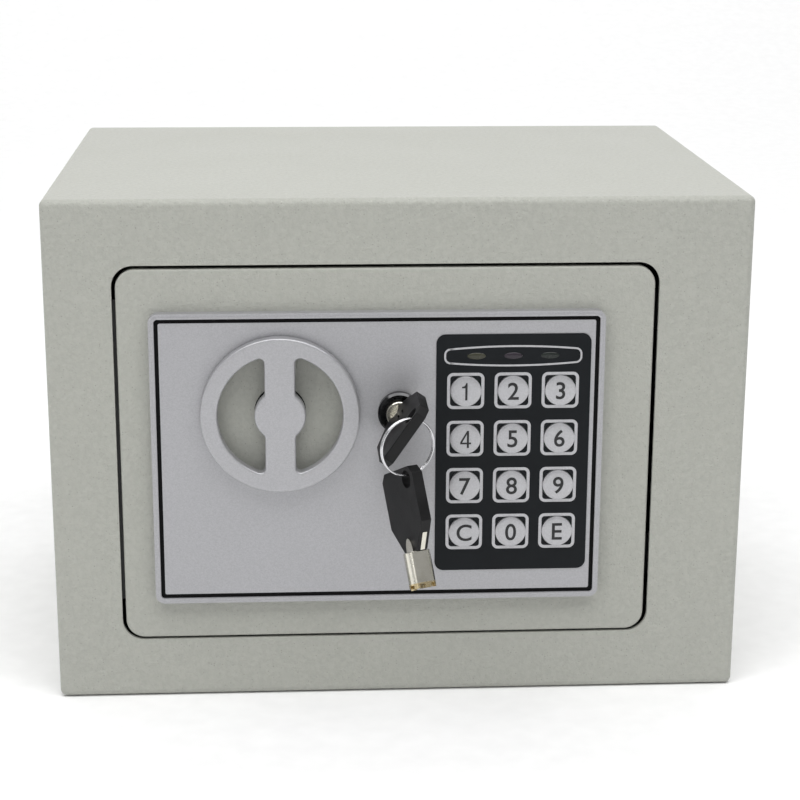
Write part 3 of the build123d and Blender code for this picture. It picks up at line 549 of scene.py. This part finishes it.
# %% Lamp outline
WINDOW = (45.2, 4.9)  # length, and height at its ends
WINDOW_BULGE = 1.1
lamps = middle_of("led_lenses")
window = bmesh.new()
bmesh.ops.create_grid(window, x_segments=24, y_segments=1, size=0.5)
bmesh.ops.scale(window, vec=(WINDOW[0], WINDOW[1], 1), verts=window.verts)
for point in window.verts:
    from_middle = 2 * point.co.x / WINDOW[0]
    point.co.y += (1 if point.co.y > 0 else -1) * WINDOW_BULGE * (1 - from_middle ** 2)
bmesh.ops.dissolve_edges(window, edges=[e for e in window.edges if not e.is_boundary])
ends = [v for v in window.verts if abs(abs(v.co.x) - WINDOW[0] / 2) < 0.01]
bevel(window, ends, 2.2, CORNER_STEPS, "VERTICES")
raise_outline(window, 0.6, PRINT_T)
make_piece("lamp_outline", window, "door", key_silver, "key_silver",
           matrix=place(lamps.x, film_front - PRINT_T / 2, lamps.z))

# %% [markdown]
# ### Spun shapes
# Turned and moulded round things come from a profile that is spun round an axis. The profile
# is a few points as (radius, height), joined in order.

# %% Spin helper
def spun(profile, steps=64):
    """A closed shape from a profile of (radius, height) spun round Z."""
    shape = bmesh.new()
    points = [shape.verts.new((radius, 0, height)) for radius, height in profile]
    edges = [shape.edges.new(pair) for pair in zip(points, points[1:])]
    bmesh.ops.spin(shape, geom=points + edges, cent=(0, 0, 0), axis=(0, 0, 1), angle=2 * pi, steps=steps,
                   use_merge=True)
    bmesh.ops.remove_doubles(shape, verts=shape.verts, dist=0.002)
    return shape


# %% [markdown]
# ### Lamp lenses
# Each lamp shines through a small domed oval. A spun dome is stretched to an oval, and the
# three stand for the CAD node's flat ones.

# %% Lenses
LENS = (6.0, 2.2)
LENS_DOME = 0.28
LENS_WALL = 0.6
LENS_SUNK = 0.1
LENS_SPREAD = 0.8  # the middles' spacing, of half the CAD node's width
lens_front = front_of("led_lenses")
lenses = bmesh.new()
for step in (-1, 0, 1):
    dome = spun([(0, LENS_DOME)] + [(sin(a), LENS_DOME * cos(a)) for a in (0.4, 0.8, 1.2)]
                + [(1, 0), (1, -LENS_WALL), (0, -LENS_WALL)], 40)
    bmesh.ops.scale(dome, vec=(LENS[0] / 2, LENS[1] / 2, 1), verts=dome.verts)
    spot = place(lamps.x + step * lens_step / MM * LENS_SPREAD, lens_front + LENS_SUNK, lamps.z)
    bmesh.ops.transform(dome, matrix=spot, verts=dome.verts)
    held = bpy.data.meshes.new("one_lens")
    dome.to_mesh(held)
    dome.free()
    lenses.from_mesh(held)
    bpy.data.meshes.remove(held)
make_piece("lamp_lenses", lenses, "door", lens, "lens_plastic", ["led_lenses"])

# %% [markdown]
# ### Keys of the keypad
# A key's cap is slightly domed, so that each catches the light a little differently. It is
# spun from its profile. The character on it comes from a text, made a mesh, fitted to its
# height and laid over the dome.

# %% Key caps and characters
CAP_R = 5.05
CAP_DOME = 0.25
CAP_EDGE = 0.2
CAP_T = 2.2
CHARACTER = 5.85
CHARACTER_WIDTH = 0.98  # of the type's own width
INK_T = 0.05
INK_BOLD = 0.012  # how far each stroke is widened, in the type's own units
DRAWN = {  # figures that the built-in type draws in another way, as loops of corners; a second loop is a hole
    "1": [[(0.5, -2.93), (0.5, 2.93), (0.0, 2.93), (-0.2, 2.3), (-0.6, 1.85), (-1.33, 1.68),
           (-1.33, 1.2), (-0.25, 1.2), (-0.25, -2.93)]],
    "4": [[(0.5, -2.93), (1.2, -2.93), (1.2, -1.65), (1.9, -1.65), (1.9, -1.05), (1.2, -1.05),
           (1.2, 2.93), (0.55, 2.93), (-1.7, -0.95), (-1.7, -1.65), (0.5, -1.65)],
          [(0.5, -1.05), (0.5, 1.75), (-1.05, -1.05)]],
}


def over_dome(x, y):
    """The dome's height over its edge at a place."""
    return CAP_DOME * (1 - (x * x + y * y) / CAP_R ** 2)


def key_cap():
    """A domed cap, its edge at height 0."""
    shares = (0, 0.25, 0.5, 0.7, 0.85, 0.93, 0.98, 1)
    dome = [(CAP_R * k, over_dome(CAP_R * k, 0) - CAP_EDGE * k ** 10) for k in shares]
    return spun(dome + [(CAP_R, -CAP_T), (0, -CAP_T)], 56)


def flat_figure(loops):
    """A figure from its loops of corners, as a thin mesh."""
    shape = bmesh.new()
    for loop in loops:
        corners = [shape.verts.new((x, y, -INK_T)) for x, y in loop]
        for pair in zip(corners, corners[1:] + corners[:1]):
            shape.edges.new(pair)
    bmesh.ops.triangle_fill(shape, edges=shape.edges[:], use_beauty=True, normal=(0, 0, 1))
    bmesh.ops.recalc_face_normals(shape, faces=shape.faces)
    out = bmesh.ops.extrude_face_region(shape, geom=shape.faces[:], use_keep_orig=True)
    top = [g for g in out["geom"] if isinstance(g, bmesh.types.BMVert)]
    bmesh.ops.translate(shape, vec=(0, 0, 2 * INK_T), verts=top)
    return shape


def flat_letter(letter):
    """A letter from the built-in type, as a thin mesh."""
    text = bpy.data.curves.new("letter", "FONT")
    text.body = letter
    text.extrude = INK_T
    text.offset = INK_BOLD
    text.resolution_u = 8
    holder = bpy.data.objects.new("letter", text)
    drawn = bpy.data.meshes.new_from_object(holder)
    bpy.data.objects.remove(holder)
    shape = bmesh.new()
    shape.from_mesh(drawn)
    bpy.data.meshes.remove(drawn)
    wide = [v.co.x for v in shape.verts]
    high = [v.co.y for v in shape.verts]
    size = CHARACTER / (max(high) - min(high))
    middle = (-(max(wide) + min(wide)) / 2, -(max(high) + min(high)) / 2, 0)
    bmesh.ops.translate(shape, vec=middle, verts=shape.verts)
    bmesh.ops.scale(shape, vec=(size * CHARACTER_WIDTH, size, 1), verts=shape.verts)
    return shape


def character(letter):
    """A letter that lies over the dome."""
    shape = flat_figure(DRAWN[letter]) if letter in DRAWN else flat_letter(letter)
    for _ in range(3):
        long_edges = [e for e in shape.edges if e.calc_length() > 0.7]
        bmesh.ops.subdivide_edges(shape, edges=long_edges, cuts=1)
        bmesh.ops.triangulate(shape, faces=shape.faces[:])
    for point in shape.verts:
        point.co.z += over_dome(point.co.x, point.co.y)
    return shape


ink = moulded("key_ink", srgb(18, 18, 20), srgb(26, 26, 28), 0.4, 2600.0, 0.00001)
for name, spot in key_places.items():
    where = place(spot.x, front_of(name), spot.z)
    make_piece(f"cap_{name[4:]}", key_cap(), name, key_silver, "key_silver", [name], where)
    make_piece(f"character_{name[4:]}", character(name[4:].upper()), name, ink, "key_silver", matrix=where)

# %% [markdown]
# ### The split ring
# A split ring is one wire wound twice. The turns lie side by side nearly all the way, and the
# wire steps across from one to the other over a short stretch. A small round section is spun
# in three stages: a turn on one side, a step with a sideways shift, and a turn on the other.

# %% Split ring
swing = next(j for j in frame["joints"] if j["name"] == "ring_swing")
spare_joint = next(j for j in frame["joints"] if j["name"] == "spare_swing")
ring_across = Vector(swing["axis"]).normalized()
UP = Vector((0, 0, 1))
ring_near = ring_across.cross(UP)
ring_middle = middle_of("key_ring")
ring_low, ring_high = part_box("key_ring")
WIRE_R = 0.33
TURN_SHIFT = 0.62
ring_r = (ring_high[2] - ring_low[2]) / 2 / MM - WIRE_R * 2
STEP_ANGLE = radians(34)


def facing_matrix(right, up, middle):
    """The matrix that takes X to the right, Y up and Z towards the reader, at a middle."""
    out = right.cross(up)
    axes = Matrix((right, up, out)).transposed().to_4x4()
    return Matrix.Translation(middle) @ axes


ring = bmesh.new()
section = bmesh.ops.create_circle(ring, segments=14, radius=WIRE_R)["verts"]
bmesh.ops.rotate(ring, cent=(0, 0, 0), matrix=Matrix.Rotation(radians(90), 3, "X"), verts=section)
bmesh.ops.translate(ring, vec=(ring_r, 0, -TURN_SHIFT / 2), verts=section)
turn_angle = 2 * pi - STEP_ANGLE - radians(6)
geom = list(section) + list({e for v in section for e in v.link_edges})
bmesh.ops.contextual_create(ring, geom=[g for g in geom if isinstance(g, bmesh.types.BMEdge)])
for angle, shift, steps in ((turn_angle, 0, 84), (STEP_ANGLE, TURN_SHIFT, 10), (turn_angle, 0, 84)):
    swept = bmesh.ops.spin(ring, geom=geom, cent=(0, 0, 0), axis=(0, 0, 1), dvec=(0, 0, shift / steps),
                           angle=angle, steps=steps)
    geom = swept["geom_last"]
bmesh.ops.contextual_create(ring, geom=[g for g in geom if isinstance(g, bmesh.types.BMEdge)])
make_piece("split_ring", ring, "key_ring", ring_nickel, "ring_steel", ["key_ring"],
           facing_matrix(ring_across, UP, ring_middle) @ Matrix.Rotation(radians(-70), 4, "Z"), sharp=60)

# %% [markdown]
# ### The plunger's spring
# The solenoid's plunger is pushed up by a small spring under its collar. A real spring gets
# shorter as the plunger goes down, and a rigid piece can't, so it is wound as short as it gets.
# It doesn't reach the collar while the plunger is up. It is a round section spun through four
# turns, and lifted a little at each step.

# %% Spring
SPRING_WIRE_R = 0.35
SPRING_TURNS = 4
SPRING_STEPS = 36  # of each turn
plunger_travel = next(j for j in frame["joints"] if j["name"] == "plunger_slide")["range_m"][1] / MM
low, high = (Vector(corner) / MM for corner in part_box("plunger_spring"))
spring_r = (high.x - low.x) / 2 - SPRING_WIRE_R
spring_rise = high.z - low.z - 2 * SPRING_WIRE_R - plunger_travel - 0.2
spring = bmesh.new()
section = bmesh.ops.create_circle(spring, segments=10, radius=SPRING_WIRE_R)["verts"]
bmesh.ops.rotate(spring, cent=(0, 0, 0), matrix=Matrix.Rotation(radians(90), 3, "X"), verts=section)
bmesh.ops.translate(spring, vec=(spring_r, 0, 0), verts=section)
wire_edges = list({e for v in section for e in v.link_edges})
bmesh.ops.contextual_create(spring, geom=wire_edges)
wound = bmesh.ops.spin(spring, geom=section + wire_edges, cent=(0, 0, 0), axis=(0, 0, 1),
                       dvec=(0, 0, spring_rise / (SPRING_TURNS * SPRING_STEPS)), angle=2 * pi * SPRING_TURNS,
                       steps=SPRING_TURNS * SPRING_STEPS)
bmesh.ops.contextual_create(spring, geom=[g for g in wound["geom_last"] if isinstance(g, bmesh.types.BMEdge)])
make_piece("wound_spring", spring, "door", bolt_steel, "spring_steel", ["plunger_spring"],
           Matrix.Translation(((low.x + high.x) / 2, (low.y + high.y) / 2, low.z + SPRING_WIRE_R)), sharp=60)

# %% [markdown]
# ### Key bows
# The bows are copies of the CAD nodes with their triangles joined, so that the edges can be
# rounded as a moulded part's are. Two narrow slots are cut in one flat side, where the mould
# held the steel. Both keys are the same, so each detail is drawn once in the key's own frame:
# X across the bow, Y along it away from the tube, and Z through its thickness.

# %% Key frames and bows
BOW = (3.6, 26.5)  # thickness and length
HOLE_FROM_END = 3.9
HOLE_FROM_MIDDLE = 6.3
HOLE_R = 2.8
SPARE_TILT = radians(25)
key_turn = -radians(next(j for j in frame["joints"] if j["name"] == "key_turn")["range_deg"][0])
lock = middle_of("lock_barrel")
bow_foot = Vector((lock.x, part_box("key_bow")[1][1] / MM, lock.z))
key_frame = facing_matrix(Vector((sin(key_turn), 0, cos(key_turn))), Vector((0, -1, 0)), bow_foot)

spare_down = -UP * cos(SPARE_TILT) + ring_near * sin(SPARE_TILT)
spare_wide = ring_near * cos(SPARE_TILT) + UP * sin(SPARE_TILT)
hole = Vector(spare_joint["pos_m"]) / MM - UP * (HOLE_R / 2)
spare_foot = hole - spare_wide * HOLE_FROM_MIDDLE + spare_down * (BOW[1] - HOLE_FROM_END)
spare_frame = facing_matrix(spare_wide, -spare_down, spare_foot)


def cut_boxes(shape, boxes, matrix):
    """Cuts boxes, given as (middle, size) in the matrix's frame, out of a shape."""
    solid = bpy.data.meshes.new("solid")
    shape.to_mesh(solid)
    cutter_shape = bmesh.new()
    for middle, size in boxes:
        made = bmesh.ops.create_cube(cutter_shape, size=1)["verts"]
        bmesh.ops.scale(cutter_shape, vec=size, verts=made)
        bmesh.ops.translate(cutter_shape, vec=middle, verts=made)
    bmesh.ops.transform(cutter_shape, matrix=matrix, verts=cutter_shape.verts)
    cutter = bpy.data.meshes.new("cutter")
    cutter_shape.to_mesh(cutter)
    cutter_shape.free()
    whole = bpy.data.objects.new("whole", solid)
    tool = bpy.data.objects.new("tool", cutter)
    for thing in (whole, tool):
        bpy.context.collection.objects.link(thing)
    cut = whole.modifiers.new("cut", "BOOLEAN")
    cut.operation = "DIFFERENCE"
    cut.solver = "EXACT"
    cut.object = tool
    result = bpy.data.meshes.new_from_object(whole.evaluated_get(bpy.context.evaluated_depsgraph_get()))
    shape.clear()
    shape.from_mesh(result)
    for thing in (whole, tool):
        bpy.data.objects.remove(thing)
    for mesh in (solid, cutter, result):
        bpy.data.meshes.remove(mesh)


SLOT = (0.9, 4.2, 1.2)
slots = [((x, 9.0, -BOW[0] / 2), SLOT) for x in (1.0, 3.2)]
for name, body, matrix in (("key_bow", "key", key_frame), ("spare_key_bow", "spare_key", spare_frame)):
    moulding = node_copy(name)
    round_edges(moulding, 0.45)
    cut_boxes(moulding, slots, matrix)
    make_piece("moulded_" + name, moulding, body, bow_black, "bow_plastic", [name], flat_faces=True)

# %% [markdown]
# ### Key tubes
# The tube is drawn steel with nickel plate, rolled in a little where the bow begins. Its tip is
# milled with notches of different depths that push the lock's pins, and there the brass under
# the plate shows. The teeth between the notches are faces of the end ring, pushed out.

# %% Tubes and tips
TUBE_R = 4.3
BORE_R = 3.2
TUBE_L = 12.0
TIP_L = 1.9
NOTCHES = 7
TIP_ROOT = 0.5
TOOTH_HALF = 0.26  # radians
TOOTH_STEP = 0.2
tip_from = TUBE_L - TIP_L


def key_tube():
    """The nickel tube, from the bow at height 0 to where the tip begins."""
    return spun([(0, 0), (TUBE_R - 0.25, 0), (TUBE_R, 0.3), (TUBE_R, tip_from), (BORE_R, tip_from),
                 (BORE_R, 3), (0, 3)])


def key_tip():
    """The brass tip with teeth between its notches."""
    root = tip_from + TIP_ROOT
    tip = spun([(BORE_R, tip_from), (TUBE_R, tip_from), (TUBE_R, root), (BORE_R, root),
                (BORE_R, tip_from)], 84)
    for notch in range(NOTCHES):
        middle = Vector((cos(2 * pi * notch / NOTCHES), sin(2 * pi * notch / NOTCHES)))
        ends = [f for f in tip.faces if all(abs(v.co.z - root) < 0.001 for v in f.verts)]
        tooth = [f for f in ends if f.calc_center_median().xy.angle(middle) < TOOTH_HALF]
        out = bmesh.ops.extrude_face_region(tip, geom=tooth)
        moved = [g for g in out["geom"] if isinstance(g, bmesh.types.BMVert)]
        bmesh.ops.translate(tip, vec=(0, 0, TIP_L - TIP_ROOT - TOOTH_STEP * (notch % 3)), verts=moved)
        bmesh.ops.delete(tip, geom=tooth, context="FACES_ONLY")
    return tip


DOWN_TUBE = Matrix.Rotation(radians(90), 4, "X")  # takes a spun shape's Z to the key frame's -Y
for name, body, matrix in (("key", "key", key_frame), ("spare_key", "spare_key", spare_frame)):
    make_piece(name + "_tube", key_tube(), body, key_nickel, "key_nickel", [name + "_stem"],
               matrix @ DOWN_TUBE)
    make_piece(name + "_tip", key_tip(), body, tip_brass, "key_nickel", matrix=matrix @ DOWN_TUBE)

# %% [markdown]
# ### Steel that shows through the bow
# The tube has a steel tongue that the plastic is moulded round. It shows as a half-round cheek
# on each flat side beside the tube, and as a strip down each tapered edge.

# %% Cheeks and strips
CHEEK = (4.6, 4.4)
STRIP = (1.5, 6.4)
STRIP_SLANT = radians(38.2)
BOW_FOOT_HALF = 4.6
STEEL_PROUD = 0.14
for name, body, matrix in (("key", "key", key_frame), ("spare_key", "spare_key", spare_frame)):
    steel = bmesh.new()
    for side in (-1, 1):
        half = bmesh.ops.create_circle(steel, cap_ends=True, segments=36, radius=CHEEK[0] / 2)["verts"]
        bmesh.ops.scale(steel, vec=(1, 2 * CHEEK[1] / CHEEK[0], 1), verts=half)
        bmesh.ops.translate(steel, vec=(0, 0, side * (BOW[0] / 2 + STEEL_PROUD)), verts=half)
    bmesh.ops.bisect_plane(steel, geom=steel.verts[:] + steel.edges[:] + steel.faces[:], plane_co=(0, 0, 0),
                           plane_no=(0, -1, 0), clear_outer=True)
    for side in (-1, 1):
        before = set(steel.verts)
        bmesh.ops.create_grid(steel, x_segments=1, y_segments=1, size=0.5)
        strip = [v for v in steel.verts if v not in before]
        bmesh.ops.scale(steel, vec=(STRIP[0], STRIP[1], 1), verts=strip)
        on_edge = Matrix.Rotation(side * radians(90), 3, "Y")
        bmesh.ops.rotate(steel, cent=(0, 0, 0), matrix=on_edge, verts=strip)
        bmesh.ops.translate(steel, vec=(0, STRIP[1] / 2, 0), verts=strip)
        slant = Matrix.Rotation(-side * STRIP_SLANT, 3, "Z")
        bmesh.ops.rotate(steel, cent=(0, 0, 0), matrix=slant, verts=strip)
        bmesh.ops.translate(steel, vec=(side * (BOW_FOOT_HALF + STEEL_PROUD), 0, 0), verts=strip)
    bmesh.ops.recalc_face_normals(steel, faces=steel.faces)
    bmesh.ops.solidify(steel, geom=steel.faces[:], thickness=2 * STEEL_PROUD)
    make_piece(name + "_steel", steel, body, key_nickel, "key_nickel", matrix=matrix)

# %% [markdown]
# ### Moulded edges inside the door
# The cover and the battery lid come out of a mould, so their edges are a little round. The
# dark painted hinge arms were tumbled before they were painted, and have soft edges too.

# %% Soft edges
SOFT_EDGED = (("inner_cover", "door", cover_black, "cover_plastic", 0.8),
              ("battery_lid", "battery_lid", cover_black, "cover_plastic", 0.4),
              ("hinge_arm_top", "door", frame_paint, "dark_steel", 0.3),
              ("hinge_arm_bottom", "door", frame_paint, "dark_steel", 0.3))
for name, body, finish, slot, width in SOFT_EDGED:
    softened = node_copy(name)
    round_edges(softened, width, 2, 60.0)
    make_piece("soft_" + name, softened, body, finish, slot, [name], flat_faces=True)

# %% [markdown]
# ### The fascia's step
# The silver rim is in two levels: a second, narrower line stands a little proud of it all the
# way round. It is an outline, as the keypad's are, and its edges are rounded.

# %% Rim step
low, high = (Vector(corner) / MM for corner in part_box("fascia"))
STEP_IN = 0.75
rim = flat_plate(high.x - low.x - 2 * STEP_IN, high.z - low.z - 2 * STEP_IN, 2.3)
raise_outline(rim, 1.0, 0.3)
round_edges(rim, 0.12, 2, 60.0)
make_piece("fascia_rim_step", rim, "door", fascia_silver, "silver_fascia",
           matrix=place((low.x + high.x) / 2, low.y - 0.1, (low.z + high.z) / 2))

# %% [markdown]
# ### The floor mat
# A piece of needled felt is cut to the floor and laid on it, with a hole over each anchor hole.
# It is a fine grid, so that it can be a little uneven. The points next to a hole are drawn to
# its round edge.

# %% Felt mat
MAT_T = 1.8
ANCHOR_SPAN = 110.0
MAT_HOLE_R = 6.0
felt = Finish("mat_felt", grain, 3200.0, Sheen_Weight=0.35, Sheen_Roughness=0.6)
felt.colour(felt.mix(felt.mask("Height"), srgb(26, 27, 29), srgb(64, 65, 68)))
felt.drive("Roughness", felt.mask("Tone"), 0.88, 1.0)
felt.bump(felt.mask("Height"), 0.0004)
low, high = (Vector(corner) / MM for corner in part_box("floor_mat"))
mat_size = high - low
mat = bmesh.new()
bmesh.ops.create_grid(mat, x_segments=round(mat_size.x / 2), y_segments=round(mat_size.y / 2), size=0.5)
bmesh.ops.scale(mat, vec=(mat_size.x, mat_size.y, 1), verts=mat.verts)
bmesh.ops.translate(mat, vec=((low.x + high.x) / 2, (low.y + high.y) / 2, low.z + MAT_T / 2), verts=mat.verts)
for side in (-1, 1):
    centre = Vector((side * ANCHOR_SPAN / 2, 0))
    inside = [f for f in mat.faces if (f.calc_center_median().xy - centre).length < MAT_HOLE_R]
    bmesh.ops.delete(mat, geom=inside, context="FACES")
    for point in mat.verts:
        out = point.co.xy - centre
        if point.is_boundary and out.length < MAT_HOLE_R + 3:
            point.co.xy = centre + out.normalized() * MAT_HOLE_R
for point in mat.verts:
    point.co.z += 0.07 * sin(point.co.x * 0.21) * cos(point.co.y * 0.17)
bmesh.ops.solidify(mat, geom=mat.faces[:], thickness=MAT_T)
mat_low = min(v.co.z for v in mat.verts)
bmesh.ops.translate(mat, vec=(0, 0, low.z - mat_low), verts=mat.verts)
felt_mat = make_piece("felt_mat", mat, "cabinet", felt, "mat_felt", ["floor_mat"], sharp=50)

# %% [markdown]
# ## Floor, light and camera
# The safe stands on a pale floor that curves up into a pale wall. A big soft light over and in
# front lights the top and the face, and the even sky fills the rest.

# %% Floor
paper = Finish("paper_sweep", grain, 300.0)
paper.colour(paper.mix(paper.mask("Tone"), srgb(244, 244, 244), srgb(248, 248, 248)))
paper.drive("Roughness", paper.mask("Tone"), 0.85, 0.95)
sweep = bmesh.new()
SWEEP_HALF = 6000
profile = [sweep.verts.new((-SWEEP_HALF, y, z)) for y, z in ((-4000, -0.2), (2600, -0.2), (4200, 6000))]
edges = [sweep.edges.new(pair) for pair in zip(profile, profile[1:])]
bevel(sweep, [profile[1]], 1500, 24, "VERTICES")
out = bmesh.ops.extrude_edge_only(sweep, edges=sweep.edges[:])
far_side = [g for g in out["geom"] if isinstance(g, bmesh.types.BMVert)]
bmesh.ops.translate(sweep, vec=(2 * SWEEP_HALF, 0, 0), verts=far_side)
bmesh.ops.recalc_face_normals(sweep, faces=sweep.faces)
bmesh.ops.scale(sweep, vec=(MM, MM, MM), verts=sweep.verts)
sweep_mesh = bpy.data.meshes.new("sweep")
sweep.to_mesh(sweep_mesh)
sweep.free()
sweep_mesh.materials.append(paper.material)
floor = bpy.data.objects.new("sweep", sweep_mesh)
bpy.context.collection.objects.link(floor)
print("sweep faces:", len(sweep_mesh.polygons))

# %% Lights
def softbox(name, place_m, aim, size, power):
    """A square area light that points at an aim."""
    light = bpy.data.lights.new(name, "AREA")
    light.shape = "RECTANGLE"
    light.size, light.size_y = size
    light.energy = power
    lamp = bpy.data.objects.new(name, light)
    lamp.location = place_m
    lamp.rotation_euler = (Vector(aim) - Vector(place_m)).to_track_quat("-Z", "Y").to_euler()
    bpy.context.collection.objects.link(lamp)


softbox("over_light", (0.0, 0.2, 1.9), (0, 0, 0.1), (2.4, 1.6), 2.4)
softbox("floor_light", (0.0, -0.7, 1.5), (0, -0.68, 0), (2.2, 1.0), 25.5)
softbox("left_light", (-1.9, -1.3, 0.9), (0, 0, 0.08), (0.9, 1.2), 4.0)
softbox("wall_light", (0.0, 1.2, 3.2), (0, 4.0, 1.2), (4.0, 1.5), 80.0)
world = bpy.data.worlds.new("sky")
world.use_nodes = True
world.node_tree.nodes["Background"].inputs["Color"].default_value = (1, 1, 1, 1)
world.node_tree.nodes["Background"].inputs["Strength"].default_value = 0.36
bpy.context.scene.world = world
bpy.context.scene.view_settings.view_transform = "Standard"

# %% Camera
CAMERA_MM = Vector((-37.3, -707.3, 276.9))
YAW, PITCH, ROLL = radians(-3.42), radians(15.57), radians(0.245)
LENS_MM = 88.7
forward = Vector((-sin(YAW) * cos(PITCH), cos(YAW) * cos(PITCH), -sin(PITCH)))
level = Vector((cos(YAW), sin(YAW), 0))
right = level * cos(ROLL) + level.cross(forward) * sin(ROLL)
camera_data = bpy.data.cameras.new("camera")
camera_data.lens = LENS_MM
camera = bpy.data.objects.new("camera", camera_data)
camera.matrix_world = facing_matrix(right, right.cross(forward), CAMERA_MM * MM)
bpy.context.collection.objects.link(camera)
bpy.context.scene.camera = camera
print("camera at", camera.location[:])
